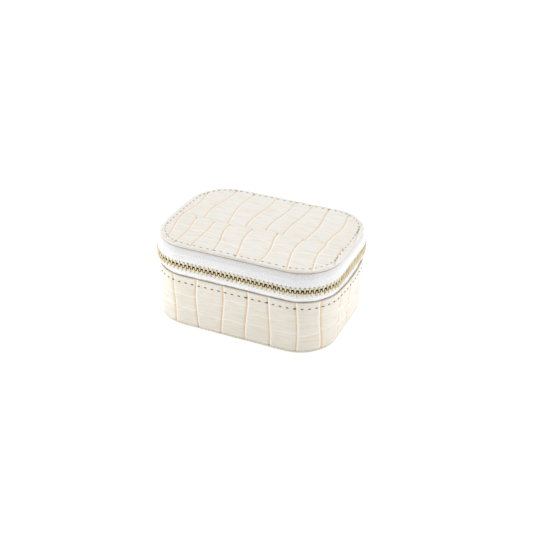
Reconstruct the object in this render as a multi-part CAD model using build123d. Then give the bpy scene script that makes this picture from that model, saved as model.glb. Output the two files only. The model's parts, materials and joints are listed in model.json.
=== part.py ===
"""Zip-around travel jewellery box: a rounded rectangular case in embossed leather over board.

Frame: millimetres, +Z up, origin on the table under the middle of the case. The front faces -Y, the
leather hinge is at the back (+Y) and the zip is parked on the left side (-X).
Every wall follows one rounded rectangle, the outer face of the leather wall. The word "out" means
the distance outward from that face, so negative values lie inside the case.
"""

import math
import os

from build123d import *

# ---- driving dimensions, mm ----
WIDTH = 113.0  # outer leather wall, X
DEPTH = 85.0  # outer leather wall, Y
CORNER_R = 24.0
HEIGHT = 54.0  # top of the lid's leather panel

BOTTOM_LEATHER_T = 1.4
FLOOR_BOARD_T = 1.8
WALL_LEATHER_T = 1.2
WALL_BOARD_T = 1.8
LINING_T = 1.2
FLOOR_PAD_T = 1.0
LID_PANEL_T = 1.8
LID_PANEL_OUT = -0.5
LID_BOARD_T = 1.8
LID_PAD_T = 2.0

ZIP_Z = 41.7  # height of the line between the two rows of teeth
CHAIN_OUT = 0.85  # the chain stands proud of the leather, so the slider clears the boards
TAPE_T = 0.6
LEATHER_TOP_Z = 34.0
BOARD_TOP_Z = 34.2
BASE_LINING_TOP_Z = 40.0
LID_LINING_FOOT_Z = 43.4
LID_WALL_FOOT_Z = 46.9

TOOTH_PITCH = 2.66
TOOTH_W = 1.1
TOOTH_T = 2.2
TOOTH_REACH = 2.85  # from the zip line to the end of a tooth's legs
TOOTH_HEAD = 0.55  # how far a head passes over the zip line
TAPE_EDGE = 1.75  # from the zip line to the edge of each tape
CHAIN_END_ANGLE = 62.0  # degrees of the rear right corner that the teeth cover

SLIDER_L = 10.5
SLIDER_TAIL_HALF = 3.75
SLIDER_NOSE_HALF = 4.35
SLIDER_PLATE_T = 1.0
CHANNEL_HALF_T = 1.35
SLIDER_Y = 11.0  # middle of the slider with the zip shut
PULL_L = 21.0
PULL_W = 7.0
PULL_T = 1.1

HINGE_LEATHER_T = 1.2
HINGE_HALF_W = 32.3
HINGE_FOOT_Z = 27.0
HINGE_TOP_Z = 51.0

DIVIDER_T = 3.0
DIVIDER_TOP_Z = 29.0
DIVIDER_X = 3.5
RING_ROLL_R = 6.7
RING_ROLL_GAP = 0.5
PLATFORM_H = 7.5
FIT_GAP = 0.3

STITCH_PITCH = 4.3
STITCH_L = 2.7
STITCH_D = 0.5
LID_STITCH_INSET = 3.2
WALL_STITCH_DROP = 4.1

POCKET_HALF_W = 42.0
POCKET_BACK_Y = 32.0
POCKET_FRONT_Y = -12.0
POCKET_DEPTH = 5.4
POCKET_SKIN_T = 0.7
ELASTIC_H = 4.0

FLOOR_Z = BOTTOM_LEATHER_T + FLOOR_BOARD_T
INNER_FLOOR_Z = FLOOR_Z + FLOOR_PAD_T
LID_PANEL_Z = HEIGHT - LID_PANEL_T
LID_BOARD_Z = LID_PANEL_Z - LID_BOARD_T
LID_PAD_Z = LID_BOARD_Z - LID_PAD_T
BOARD_OUT = -WALL_LEATHER_T - TAPE_T
LINING_OUT = BOARD_OUT - WALL_BOARD_T
INSIDE_OUT = LINING_OUT - LINING_T
SIDE_X = WIDTH / 2
BACK_Y = DEPTH / 2
CORNER_X = SIDE_X - CORNER_R
CORNER_Y = BACK_Y - CORNER_R


# ---- the rounded rectangle that everything follows ----
# Its stretches, in order from the rear left corner round the front to the back.
CORNERS = {
    "rear_left": (-CORNER_X, CORNER_Y, 90),
    "front_left": (-CORNER_X, -CORNER_Y, 180),
    "front_right": (CORNER_X, -CORNER_Y, 270),
    "rear_right": (CORNER_X, CORNER_Y, 0),
}
SIDES = {
    "left": ((-SIDE_X, CORNER_Y), (-SIDE_X, -CORNER_Y)),
    "front": ((-CORNER_X, -BACK_Y), (CORNER_X, -BACK_Y)),
    "right": ((SIDE_X, -CORNER_Y), (SIDE_X, CORNER_Y)),
    "back": ((CORNER_X, BACK_Y), (-CORNER_X, BACK_Y)),
}
ZIP_ROUTE = ["rear_left", "left", "front_left", "front", "front_right", "right", "rear_right"]
FULL_ROUTE = ZIP_ROUTE + ["back"]


def outline(out):
    """The rounded rectangle, moved outward, as a flat face on z = 0."""
    return RectangleRounded(WIDTH + 2 * out, DEPTH + 2 * out, CORNER_R + out)


def plate(out, z_low, z_high):
    return Pos(0, 0, z_low) * extrude(outline(out), z_high - z_low)


def band(profile, route=FULL_ROUTE):
    """A wall of constant section along the route. The profile is a list of (out, z) points."""
    pieces = []
    for name in route:
        if name in CORNERS:
            x, y, start = CORNERS[name]
            points = [(CORNER_R + out, z) for out, z in profile]
            section = Plane.XZ * Polyline(*points, close=True)
            face = make_face(section)
            turned = Rot(0, 0, start) * revolve(face, Axis.Z, 90)
            pieces.append(Pos(x, y, 0) * turned)
        else:
            (x0, y0), (x1, y1) = SIDES[name]
            length = math.hypot(x1 - x0, y1 - y0)
            along = ((x1 - x0) / length, (y1 - y0) / length, 0)
            outward = (along[1], -along[0], 0)
            place = Plane(origin=(x0, y0, 0), x_dir=outward, z_dir=(-along[0], -along[1], 0))
            face = make_face(place * Polyline(*profile, close=True))
            pieces.append(extrude(face, length, dir=along))
    return pieces[0] if len(pieces) == 1 else pieces[0].fuse(*pieces[1:])


def box_band(out_low, out_high, z_low, z_high, route=FULL_ROUTE):
    corners = [(out_low, z_low), (out_high, z_low), (out_high, z_high), (out_low, z_high)]
    return band(corners, route)


def stretches(out, route):
    """Each stretch of a route as (length, function from distance to x, y and outward angle)."""
    made = []
    for name in route:
        if name in CORNERS:
            x, y, start = CORNERS[name]
            radius = CORNER_R + out

            def on_corner(s, x=x, y=y, start=start, radius=radius):
                turn = math.radians(start) + s / radius
                return x + radius * math.cos(turn), y + radius * math.sin(turn), math.degrees(turn)

            made.append((radius * math.pi / 2, on_corner))
        else:
            (x0, y0), (x1, y1) = SIDES[name]
            length = math.hypot(x1 - x0, y1 - y0)
            ux, uy = (x1 - x0) / length, (y1 - y0) / length
            angle = math.degrees(math.atan2(-ux, uy))

            def on_side(s, x0=x0, y0=y0, ux=ux, uy=uy, angle=angle):
                turn = math.radians(angle)
                return (
                    x0 + ux * s + out * math.cos(turn),
                    y0 + uy * s + out * math.sin(turn),
                    angle,
                )

            made.append((length, on_side))
    return made


def route_point(distance, made):
    """Where a distance along a route's stretches lies: x, y and the outward angle in degrees."""
    for length, place in made:
        if distance <= length:
            return place(distance)
        distance -= length
    length, place = made[-1]
    return place(length)


def route_length(made):
    return sum(length for length, _ in made)


def spread(piece, distances, made, z):
    """Copies of a piece along a route, each with its local +X turned outward."""
    copies = []
    for s in distances:
        x, y, angle = route_point(s, made)
        copies.append(Pos(x, y, z) * Rot(0, 0, angle) * piece)
    return copies


# ---- base ----
def base_leather_wall():
    lip = 0.35
    return band(
        [
            (-WALL_LEATHER_T, BOTTOM_LEATHER_T),
            (-lip, BOTTOM_LEATHER_T),
            (0, BOTTOM_LEATHER_T + lip),
            (0, LEATHER_TOP_Z - lip),
            (-lip, LEATHER_TOP_Z),
            (-WALL_LEATHER_T, LEATHER_TOP_Z),
        ]
    )


def base_leather_bottom():
    piece = plate(-0.3, 0, BOTTOM_LEATHER_T)
    return chamfer(piece.edges().group_by(Axis.Z)[0], 0.4)


def base_floor_board():
    return plate(-WALL_LEATHER_T, BOTTOM_LEATHER_T, FLOOR_Z)


def base_wall_board():
    return box_band(LINING_OUT, BOARD_OUT, FLOOR_Z, BOARD_TOP_Z)


def base_floor_lining():
    return plate(LINING_OUT, FLOOR_Z, INNER_FLOOR_Z)


def base_wall_lining():
    return box_band(INSIDE_OUT, LINING_OUT, INNER_FLOOR_Z, BASE_LINING_TOP_Z)


def base_edge_lining():
    """The ledge of lining beside the zip, low enough for the slider's inner plate to pass."""
    return box_band(LINING_OUT, -0.6, 36.2, 36.9)


def base_zip_tape():
    inner = CHAIN_OUT - TAPE_T / 2
    outer = CHAIN_OUT + TAPE_T / 2
    tucked_z = 26.0
    proud_z = 37.1
    return band(
        [
            (BOARD_OUT, tucked_z),
            (-WALL_LEATHER_T, tucked_z),
            (-WALL_LEATHER_T, LEATHER_TOP_Z),
            (outer, proud_z),
            (outer, ZIP_Z - TAPE_EDGE),
            (inner, ZIP_Z - TAPE_EDGE),
            (inner, proud_z + 0.3),
            (BOARD_OUT, LEATHER_TOP_Z + 0.35),
        ],
        ZIP_ROUTE,
    )


# ---- lid ----
def lid_leather_panel():
    piece = plate(LID_PANEL_OUT, LID_PANEL_Z, HEIGHT)
    return fillet(piece.edges().group_by(Axis.Z)[-1], 0.7)


def lid_top_board():
    return plate(BOARD_OUT, LID_BOARD_Z, LID_PANEL_Z)


def lid_wall_board():
    return box_band(LINING_OUT, BOARD_OUT, LID_WALL_FOOT_Z, LID_BOARD_Z)


def lid_wall_lining():
    return box_band(INSIDE_OUT, LINING_OUT, LID_LINING_FOOT_Z, LID_BOARD_Z)


def lid_edge_lining():
    """The ledge of lining under the lid's board, above the slider's inner plate."""
    return box_band(LINING_OUT, -0.1, LID_WALL_FOOT_Z - 0.7, LID_WALL_FOOT_Z)


def lid_lining_pad():
    return plate(INSIDE_OUT, LID_PAD_Z, LID_BOARD_Z)


def lid_zip_tape():
    inner = CHAIN_OUT - TAPE_T / 2
    outer = CHAIN_OUT + TAPE_T / 2
    proud_z = 46.8
    return band(
        [
            (inner, ZIP_Z + TAPE_EDGE),
            (outer, ZIP_Z + TAPE_EDGE),
            (outer, proud_z),
            (-WALL_LEATHER_T, LID_PANEL_Z),
            (BOARD_OUT, LID_PANEL_Z),
            (inner, proud_z - 0.3),
        ],
        ZIP_ROUTE,
    )


def lid_pocket():
    """A slip pocket on the lid's lining, open towards the front."""
    depth = POCKET_BACK_Y - POCKET_FRONT_Y
    middle_y = (POCKET_BACK_Y + POCKET_FRONT_Y) / 2
    z_mid = LID_PAD_Z - POCKET_DEPTH / 2
    shell = Pos(0, middle_y, z_mid) * Box(2 * POCKET_HALF_W, depth, POCKET_DEPTH)
    shell = fillet(shell.edges().filter_by(Axis.Z).group_by(Axis.Y)[-1], 12)
    hollow_w = 2 * (POCKET_HALF_W - POCKET_SKIN_T)
    hollow = Pos(0, middle_y - POCKET_SKIN_T - 5, z_mid + POCKET_SKIN_T) * Box(
        hollow_w, depth + 10, POCKET_DEPTH
    )
    hollow = fillet(hollow.edges().filter_by(Axis.Z).group_by(Axis.Y)[-1], 12 - POCKET_SKIN_T)
    return shell - hollow


def pocket_elastic():
    """The elastic binding round the pocket's mouth, under its front edge."""
    z_mid = LID_PAD_Z - POCKET_DEPTH - 0.3
    y_mid = POCKET_FRONT_Y + ELASTIC_H / 2
    return Pos(0, y_mid, z_mid) * Box(2 * POCKET_HALF_W, ELASTIC_H, 0.6)


# ---- hinge ----
def hinge_leather():
    piece = Pos(0, BACK_Y + HINGE_LEATHER_T / 2, (HINGE_FOOT_Z + HINGE_TOP_Z) / 2) * Box(
        2 * HINGE_HALF_W, HINGE_LEATHER_T, HINGE_TOP_Z - HINGE_FOOT_Z
    )
    return chamfer(piece.edges().group_by(Axis.Y)[-1], 0.3)


def hinge_lining():
    reach = 3.0
    z_low = BASE_LINING_TOP_Z - reach
    z_high = LID_LINING_FOOT_Z + reach
    y_mid = BACK_Y + INSIDE_OUT - 0.4
    return Pos(0, y_mid, (z_low + z_high) / 2) * Box(64, 0.8, z_high - z_low)


# ---- zip ----
def tooth():
    """One element, cast round the tape's edge: its legs point up and its head meshes below."""
    half = TOOTH_W / 2
    side = [
        (-half, 0.35),
        (-half, TOOTH_REACH),
        (half, TOOTH_REACH),
        (half, 0.35),
        (0.25, -TOOTH_HEAD),
        (-0.25, -TOOTH_HEAD),
    ]
    face = make_face(Plane.YZ * Polyline(*side, close=True))
    return Pos(-TOOTH_T / 2, 0, 0) * extrude(face, TOOTH_T, dir=(1, 0, 0))


def chain():
    """The toothed stretch: its start and end along the zip route, and the tooth positions."""
    made = stretches(CHAIN_OUT, ZIP_ROUTE)
    corner = (CORNER_R + CHAIN_OUT) * math.pi / 2
    start = corner + (CORNER_Y - SLIDER_Y) - 1.0
    end = route_length(made) - corner * (1 - CHAIN_END_ANGLE / 90)
    count = int((end - start) / TOOTH_PITCH)
    return made, [start + i * TOOTH_PITCH for i in range(count)]


def lid_zip_teeth():
    made, places = chain()
    return Compound(children=spread(tooth(), places, made, ZIP_Z))


def base_zip_teeth():
    made, places = chain()
    lower = Rot(180, 0, 0) * tooth()
    shifted = [s + TOOTH_PITCH / 2 for s in places]
    return Compound(children=spread(lower, shifted, made, ZIP_Z))


def stop_clip():
    """A stop crimped on one tape edge, with its slot upward."""
    body = Pos(0, 0, 1.95) * Box(TOOTH_T, 1.8, 1.7)
    return body - Pos(0, 0, TAPE_EDGE + 1) * Box(TAPE_T + 0.1, 3, 2.1)


def top_stop(upward):
    made, _ = chain()
    corner = (CORNER_R + CHAIN_OUT) * math.pi / 2
    s = corner + (CORNER_Y - SLIDER_Y) - SLIDER_L / 2 - 1.2
    clip = stop_clip() if upward else Rot(180, 0, 0) * stop_clip()
    return spread(clip, [s], made, ZIP_Z)[0]


def zip_bottom_stop():
    made, places = chain()
    clip = Rot(180, 0, 0) * (stop_clip() + Pos(0, 0, 0.65) * Box(TOOTH_T, 1.8, 0.9))
    return spread(clip, [places[-1] + 1.7 * TOOTH_PITCH], made, ZIP_Z)[0]


# The slider is drawn flat: local +X runs to its nose, and local +Z points out of the case.
SLIDER_PLACE = Plane(
    origin=(-SIDE_X - CHAIN_OUT, SLIDER_Y, ZIP_Z), x_dir=(0, 1, 0), z_dir=(-1, 0, 0)
)
SLIDER_TOP = CHANNEL_HALF_T + SLIDER_PLATE_T
BRIDGE_H = 2.3
BRIDGE_L = 6.4
BRIDGE_W = 1.9
BRIDGE_T = 0.7


def slider_outline(grow=0.0):
    half_l = SLIDER_L / 2 + grow
    tail, nose = SLIDER_TAIL_HALF + grow, SLIDER_NOSE_HALF + grow
    points = [(-half_l, -tail), (0.5, -tail), (2.6, -nose), (half_l, -nose)]
    points += [(x, -y) for x, y in reversed(points)]
    face = make_face(Polyline(*points, close=True))
    return fillet(face.vertices(), 0.8)


def slider_body():
    lip = 0.75
    slit_half = 0.55
    shell = Pos(0, 0, -SLIDER_TOP) * extrude(slider_outline(), 2 * SLIDER_TOP)
    inside = Pos(0, 0, -CHANNEL_HALF_T) * extrude(slider_outline(-lip), 2 * CHANNEL_HALF_T)
    channel = Box(SLIDER_L + 4, 2 * (SLIDER_TAIL_HALF - lip), 2 * CHANNEL_HALF_T)
    slit = Box(SLIDER_L + 4, 4 * SLIDER_NOSE_HALF, 2 * slit_half)
    wedge_face = make_face(Polyline((1.6, 0), (3.2, 1.05), (4.9, 0.9), (4.9, -0.9), (3.2, -1.05), close=True))
    wedge = Pos(0, 0, -CHANNEL_HALF_T) * extrude(wedge_face, 2 * CHANNEL_HALF_T)
    body = shell - inside - channel - slit + wedge
    outer_edges = body.edges().group_by(Axis.Z)[-1]
    return SLIDER_PLACE * chamfer(outer_edges, 0.25)


def slider_bridge():
    outer = Pos(0, 0, SLIDER_TOP + BRIDGE_H / 2) * Box(BRIDGE_L, BRIDGE_W, BRIDGE_H)
    outer = fillet(outer.edges().filter_by(Axis.Y).group_by(Axis.Z)[-1], 1.0)
    hole = Pos(0, 0, SLIDER_TOP + (BRIDGE_H - BRIDGE_T) / 2) * Box(
        BRIDGE_L - 2 * 1.1, BRIDGE_W + 1, BRIDGE_H - BRIDGE_T
    )
    return SLIDER_PLACE * (outer - hole)


# The link turns about the bridge's rear leg and hangs down the side of the case.
LEG_Y = SLIDER_Y + BRIDGE_L / 2 - 0.55
LINK_X = -SIDE_X - CHAIN_OUT - SLIDER_TOP - 0.8
LINK_T = 0.8
LINK_W = 4.8
LINK_L = 9.2
TAB_PIN_Z = ZIP_Z - 5.6


def pull_link():
    """A flat eyelet ring: its upper eye is round the bridge's leg, its lower eye holds the tab."""
    low, high = ZIP_Z - LINK_L + 1.9, ZIP_Z + 1.9
    body = Pos(LINK_X, LEG_Y, (low + high) / 2) * Box(LINK_T, LINK_W, high - low)
    body = fillet(body.edges().filter_by(Axis.X), 1.9)
    eye = Pos(LINK_X, LEG_Y, ZIP_Z) * Box(LINK_T + 1, 2.3, 2.3)
    lower = Pos(LINK_X, LEG_Y, TAB_PIN_Z + 0.5) * Box(LINK_T + 1, LINK_W - 1.8, 2.6)
    return body - eye - lower


def pull_tab():
    """The tab a finger holds, with a bent loop at the top that goes through the link's lower eye."""
    bar_z = ZIP_Z - LINK_L + 1.9 + 0.5
    loop_w = LINK_W - 2.4
    tab_high = bar_z - 1.9
    middle = Pos(LINK_X, LEG_Y, tab_high - PULL_L / 2) * Box(PULL_T, PULL_W, PULL_L)
    middle = fillet(middle.edges().filter_by(Axis.X), 2.6)
    ring = Cylinder(1.55, loop_w) - Cylinder(0.85, loop_w + 1)
    ring = Pos(LINK_X, LEG_Y, bar_z) * Rot(90, 0, 0) * ring
    neck = Pos(LINK_X, LEG_Y, tab_high + 0.25) * Box(PULL_T, loop_w, 0.9)
    return middle + neck + ring


# ---- inside the base ----
def inner_prism(z_low, z_high):
    return plate(INSIDE_OUT - FIT_GAP, z_low, z_high)


def centre_divider():
    low, high = INNER_FLOOR_Z, DIVIDER_TOP_Z
    wall = Pos(DIVIDER_X, 0, (low + high) / 2) * Box(DIVIDER_T, DEPTH, high - low)
    wall = wall & inner_prism(low, high)
    return fillet(wall.edges().filter_by(Axis.Y).group_by(Axis.Z)[-1], 1.2)


def cross_divider():
    low, high = INNER_FLOOR_Z, DIVIDER_TOP_Z
    x_low = -SIDE_X - INSIDE_OUT + FIT_GAP
    x_high = DIVIDER_X - DIVIDER_T / 2 - 0.05
    wall = Pos((x_low + x_high) / 2, 0, (low + high) / 2) * Box(x_high - x_low, DIVIDER_T, high - low)
    return fillet(wall.edges().filter_by(Axis.X).group_by(Axis.Z)[-1], 1.2)


def ring_platform():
    x_low = DIVIDER_X + DIVIDER_T / 2 + 0.1
    low, high = INNER_FLOOR_Z, INNER_FLOOR_Z + PLATFORM_H
    block = Pos((x_low + SIDE_X) / 2, 0, (low + high) / 2) * Box(SIDE_X - x_low, DEPTH, high - low)
    return block & inner_prism(low, high)


def ring_roll(index):
    """One padded roll. Rings stand in the folds between the rolls."""
    pitch = 2 * RING_ROLL_R + RING_ROLL_GAP
    x = DIVIDER_X + DIVIDER_T / 2 + 0.4 + RING_ROLL_R + index * pitch
    z = INNER_FLOOR_Z + PLATFORM_H + RING_ROLL_R + 0.05
    reach = CORNER_R + INSIDE_OUT - FIT_GAP
    past = max(0.0, x + 0.55 * RING_ROLL_R - CORNER_X)
    half = CORNER_Y + math.sqrt(reach**2 - past**2) - 0.2
    roll = Pos(x, 0, z) * Rot(90, 0, 0) * Cylinder(RING_ROLL_R, 2 * half)
    return fillet(roll.edges(), RING_ROLL_R * 0.62)


# ---- stitching ----
def stitch_places(out, route):
    made = stretches(out, route)
    length = route_length(made)
    count = round(length / STITCH_PITCH)
    return made, [(i + 0.5) * length / count for i in range(count)]


def lid_stitching():
    out = LID_PANEL_OUT - LID_STITCH_INSET
    made, places = stitch_places(out, FULL_ROUTE)
    bar = Pos(0, 0, STITCH_D / 2 + 0.02) * Box(STITCH_D, STITCH_L, STITCH_D)
    bar = chamfer(bar.edges().filter_by(Axis.Y).group_by(Axis.Z)[-1], 0.15)
    return Compound(children=spread(bar, places, made, HEIGHT))


def base_stitching():
    made, places = stitch_places(0, ZIP_ROUTE)
    bar = Pos(STITCH_D / 2 + 0.06, 0, 0) * Box(STITCH_D, STITCH_L, STITCH_D)
    bar = chamfer(bar.edges().filter_by(Axis.Y).group_by(Axis.X)[-1], 0.15)
    return Compound(children=spread(bar, places, made, LEATHER_TOP_Z - WALL_STITCH_DROP))


PARTS = {
    "base_leather_wall": base_leather_wall,
    "base_leather_bottom": base_leather_bottom,
    "base_floor_board": base_floor_board,
    "base_wall_board": base_wall_board,
    "base_floor_lining": base_floor_lining,
    "base_wall_lining": base_wall_lining,
    "base_edge_lining": base_edge_lining,
    "base_zip_tape": base_zip_tape,
    "base_zip_teeth": base_zip_teeth,
    "base_top_stop": lambda: top_stop(False),
    "zip_bottom_stop": zip_bottom_stop,
    "base_stitching": base_stitching,
    "centre_divider": centre_divider,
    "cross_divider": cross_divider,
    "ring_platform": ring_platform,
    "lid_leather_panel": lid_leather_panel,
    "lid_top_board": lid_top_board,
    "lid_wall_board": lid_wall_board,
    "lid_wall_lining": lid_wall_lining,
    "lid_edge_lining": lid_edge_lining,
    "lid_lining_pad": lid_lining_pad,
    "lid_zip_tape": lid_zip_tape,
    "lid_zip_teeth": lid_zip_teeth,
    "lid_top_stop": lambda: top_stop(True),
    "lid_stitching": lid_stitching,
    "lid_pocket": lid_pocket,
    "pocket_elastic": pocket_elastic,
    "hinge_leather": hinge_leather,
    "hinge_lining": hinge_lining,
    "slider_body": slider_body,
    "slider_bridge": slider_bridge,
    "pull_link": pull_link,
    "pull_tab": pull_tab,
}
RING_ROLLS = 3
for roll_index in range(RING_ROLLS):
    PARTS[f"ring_roll_{roll_index + 1}"] = lambda i=roll_index: ring_roll(i)

os.makedirs("parts", exist_ok=True)
for node, make in PARTS.items():
    export_step(make(), f"parts/{node}.step")
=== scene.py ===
"""Zip-around jewelry case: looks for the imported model. Helpers work in millimetres."""

import json
import math

import bmesh
import bpy
import numpy as np
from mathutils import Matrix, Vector


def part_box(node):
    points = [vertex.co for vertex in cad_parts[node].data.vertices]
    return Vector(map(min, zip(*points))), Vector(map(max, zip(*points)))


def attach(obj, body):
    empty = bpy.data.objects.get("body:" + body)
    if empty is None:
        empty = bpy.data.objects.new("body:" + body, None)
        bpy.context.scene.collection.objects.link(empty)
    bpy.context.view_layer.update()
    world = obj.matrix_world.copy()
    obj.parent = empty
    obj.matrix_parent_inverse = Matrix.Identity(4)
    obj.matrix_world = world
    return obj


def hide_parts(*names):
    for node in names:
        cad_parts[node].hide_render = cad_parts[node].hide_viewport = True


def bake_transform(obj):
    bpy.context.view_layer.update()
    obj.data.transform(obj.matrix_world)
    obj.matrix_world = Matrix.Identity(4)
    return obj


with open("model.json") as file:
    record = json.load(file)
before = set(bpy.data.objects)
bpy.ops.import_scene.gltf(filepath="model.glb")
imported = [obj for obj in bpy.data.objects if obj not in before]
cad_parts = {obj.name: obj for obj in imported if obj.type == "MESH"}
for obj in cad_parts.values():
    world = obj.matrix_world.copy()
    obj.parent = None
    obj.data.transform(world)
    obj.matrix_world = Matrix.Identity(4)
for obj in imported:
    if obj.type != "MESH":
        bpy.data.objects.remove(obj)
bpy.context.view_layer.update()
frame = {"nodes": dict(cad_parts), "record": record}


def node_box(name):
    low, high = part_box(name)
    return np.array(low) * 1000, np.array(high) * 1000


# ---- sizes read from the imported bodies, mm ----
wall_low, wall_high = node_box("base_leather_wall")
panel_low, panel_high = node_box("lid_leather_panel")
HALF_X, HALF_Y = wall_high[0], wall_high[1]
WALL_FOOT, WALL_TOP = wall_low[2], wall_high[2]
PANEL_FOOT, PANEL_TOP = panel_low[2], panel_high[2]
PANEL_OUT = panel_high[0] - HALF_X
TOOTH_HEAD = 0.55
ZIP_Z = node_box("lid_zip_teeth")[0][2] + TOOTH_HEAD
CORNER_R = 24.0
# Distances out from the wall's face, negative inward.
CHAIN_OUT = 0.85
LINING_OUT = -3.6
INSIDE_OUT = -4.8
TAPE_T = 0.6
# From the zip's middle height to the facing edges of the tapes.
TAPE_EDGE = 1.2
# The heights of the stitched seams, and the lid seam's distance in from the panel's rim.
WALL_SEAM = WALL_TOP - 4.1
HINGE_SEAMS = (29.0, 49.0)
PANEL_SEAM = 3.2
WALL_BOW = 1.9
PANEL_BOW = 1.0
STRAIGHT_X, STRAIGHT_Y = HALF_X - CORNER_R, HALF_Y - CORNER_R
ARC = CORNER_R * math.pi / 2
STRETCHES = np.array(
    [STRAIGHT_X, ARC, 2 * STRAIGHT_Y, ARC, 2 * STRAIGHT_X, ARC, 2 * STRAIGHT_Y, ARC, STRAIGHT_X]
)
BREAKS = np.concatenate([[0], np.cumsum(STRETCHES)])
ROUND = BREAKS[-1]


# ---- the wall's outline: distance s runs from the middle of the back, over the left, to the back ----
def route(s, out=0.0):
    """Points (x, y) and outward angles at distances s along the wall, moved outward."""
    s = np.mod(np.asarray(s, float), ROUND)
    x, y, angle = np.zeros_like(s), np.zeros_like(s), np.zeros_like(s)
    x0, y0, turn = 0.0, HALF_Y, math.pi / 2
    for i, length in enumerate(STRETCHES):
        here = (s >= BREAKS[i]) & (s <= BREAKS[i + 1])
        d = s - BREAKS[i]
        if i % 2 == 0:
            tx, ty = -math.sin(turn), math.cos(turn)
            x[here], y[here], angle[here] = x0 + tx * d[here], y0 + ty * d[here], turn
            x0, y0 = x0 + tx * length, y0 + ty * length
        else:
            cx, cy = x0 - CORNER_R * math.cos(turn), y0 - CORNER_R * math.sin(turn)
            a = turn + d / CORNER_R
            x[here], y[here] = cx + CORNER_R * np.cos(a[here]), cy + CORNER_R * np.sin(a[here])
            angle[here] = a[here]
            turn += math.pi / 2
            x0, y0 = cx + CORNER_R * math.cos(turn), cy + CORNER_R * math.sin(turn)
    return x + out * np.cos(angle), y + out * np.sin(angle), angle


def chain_distance(distance):
    """Distances along the zip's own outline, from its start, as distances along the wall."""
    scale = np.where(np.arange(9) % 2 == 0, 1.0, (CORNER_R + CHAIN_OUT) / CORNER_R)
    along = np.concatenate([[0], np.cumsum(STRETCHES * scale)])
    return np.interp(np.asarray(distance) + along[1], along, BREAKS)


def even_samples(step):
    """Distances along the whole wall, about a step apart, with one at the start of every stretch."""
    counts = [max(2, int(round(length / step))) for length in STRETCHES]
    runs = [np.linspace(BREAKS[i], BREAKS[i + 1], n, endpoint=False) for i, n in enumerate(counts)]
    return np.concatenate(runs)


# ---- meshes ----
def new_object(name, points, faces):
    """A smooth-shaded piece from points in millimetres."""
    mesh = bpy.data.meshes.new(name)
    mesh.from_pydata((np.asarray(points) * 0.001).tolist(), [], faces)
    mesh.update()
    mesh.polygons.foreach_set("use_smooth", [True] * len(mesh.polygons))
    piece = bpy.data.objects.new(name, mesh)
    bpy.context.scene.collection.objects.link(piece)
    return piece


def grid_faces(rows, cols, wrap_rows, wrap_cols):
    """Quads over points[row, col], closed in either direction where it wraps."""
    i = np.arange(rows if wrap_rows else rows - 1)
    j = np.arange(cols if wrap_cols else cols - 1)
    i, j = np.meshgrid(i, j, indexing="ij")
    i2, j2 = (i + 1) % rows, (j + 1) % cols
    quads = np.stack([i * cols + j, i2 * cols + j, i2 * cols + j2, i * cols + j2], axis=-1)
    return quads.reshape(-1, 4).tolist()


def float_layer(piece, name, values):
    layer = piece.data.attributes.new(name, "FLOAT", "POINT")
    layer.data.foreach_set("value", np.asarray(values, np.float32).reshape(-1))


def grid(name, points, wrap_rows=False, caps=(), marks=None, uv=None):
    """A surface from points[row, col] whose rows are rings. Caps close the first or last row."""
    rows, cols = points.shape[:2]
    faces = grid_faces(rows, cols, wrap_rows, True)
    if "first" in caps:
        faces.append(list(range(cols)))
    if "last" in caps:
        faces.append([(rows - 1) * cols + j for j in reversed(range(cols))])
    piece = new_object(name, points.reshape(-1, 3), faces)
    for label, values in (marks or {}).items():
        float_layer(piece, label, values)
    if uv is not None:
        layer = piece.data.attributes.new("place", "FLOAT_VECTOR", "POINT")
        u, v = uv
        flat = np.stack([u.reshape(-1), v.reshape(-1), np.zeros(u.size)], axis=1)
        layer.data.foreach_set("vector", flat.astype(np.float32).reshape(-1))
    return piece


def wall_band(name, s, outs, heights, closed_route=True, caps=(), marks=None):
    """A band along the wall, closed in profile. outs and heights are arrays [s, profile] or [profile]."""
    s = np.asarray(s)
    outs = np.broadcast_to(outs, (len(s), np.shape(outs)[-1]))
    heights = np.broadcast_to(heights, outs.shape)
    x, y, angle = route(s)
    px = x[:, None] + outs * np.cos(angle)[:, None]
    py = y[:, None] + outs * np.sin(angle)[:, None]
    place = (np.broadcast_to(s[:, None], outs.shape) * 0.001, heights * 0.001)
    return grid(name, np.stack([px, py, heights], axis=-1), closed_route, caps, marks, place)


def resample(profile, step):
    """A closed list of (out, z) corners as evenly spaced points."""
    corners = np.array(profile + [profile[0]], float)
    found = []
    for a, b in zip(corners[:-1], corners[1:]):
        n = max(1, int(round(np.hypot(*(b - a)) / step)))
        found.append(a + (b - a) * np.linspace(0, 1, n, endpoint=False)[:, None])
    return np.concatenate(found)


def rounded(profile, radius, steps=4):
    """A closed list of (out, z) corners with each corner rounded."""
    count = len(profile)
    found = []
    for i in range(count):
        p = np.array(profile[i], float)
        a, b = np.array(profile[i - 1], float) - p, np.array(profile[(i + 1) % count], float) - p
        la, lb = np.hypot(*a), np.hypot(*b)
        reach = min(radius, la * 0.45, lb * 0.45)
        start, end = p + a / la * reach, p + b / lb * reach
        for t in np.linspace(0, 1, steps):
            found.append(tuple((1 - t) ** 2 * start + 2 * t * (1 - t) * p + t * t * end))
    return found


def chance(k, seed):
    """A steady random number from 0 to 1 for each whole number k."""
    v = np.sin(np.asarray(k, float) * 12.9898 + seed * 78.233) * 43758.5453
    return v - np.floor(v)


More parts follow.
